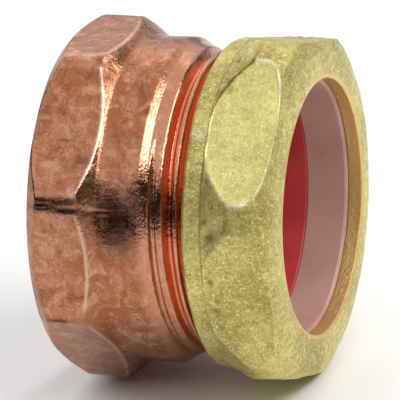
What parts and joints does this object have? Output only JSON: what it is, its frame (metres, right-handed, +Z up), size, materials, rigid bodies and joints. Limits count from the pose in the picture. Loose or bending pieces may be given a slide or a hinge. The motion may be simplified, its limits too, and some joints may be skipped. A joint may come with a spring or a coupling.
{
  "type": "compression fitting",
  "caption": "Slip-joint compression fitting: octagonal copper pipe-thread collar, threaded neck, rubber seal, gland ring and hexagonal brass nut.",
  "frame": {"origin": "centre of the collar's end face, on the fitting's axis", "axes": "+X along the fitting's axis, from the collar to the nut's mouth; +Z up, square to the lowest flat of the collar"},
  "size_m": [0.0387, 0.0546, 0.0558],
  "materials": {
    "copper": "satin",
    "red_rubber": "satin",
    "ring_plastic": "satin",
    "rough_brass": "matte"
  },
  "bodies": {
    "fitting": {"fitting_body": "copper", "seal_washer": "red_rubber"},
    "ring": {"compression_ring": "ring_plastic"},
    "nut": {"gland_nut": "rough_brass"}
  },
  "joints": [
    {"name": "ring_slide", "type": "slide", "parent": "fitting", "child": "ring", "axis": [1, 0, 0], "range_m": [0, 0.00443]},
    {"name": "nut_turn", "type": "hinge", "parent": "ring", "child": "nut", "pos_m": [0.03, 0, 0], "axis": [1, 0, 0], "range_deg": [0, 720]}
  ],
  "couplings": [
    {"joint": "ring_slide", "follows": "nut_turn", "m_per_rad": 0.00035157}
  ]
}
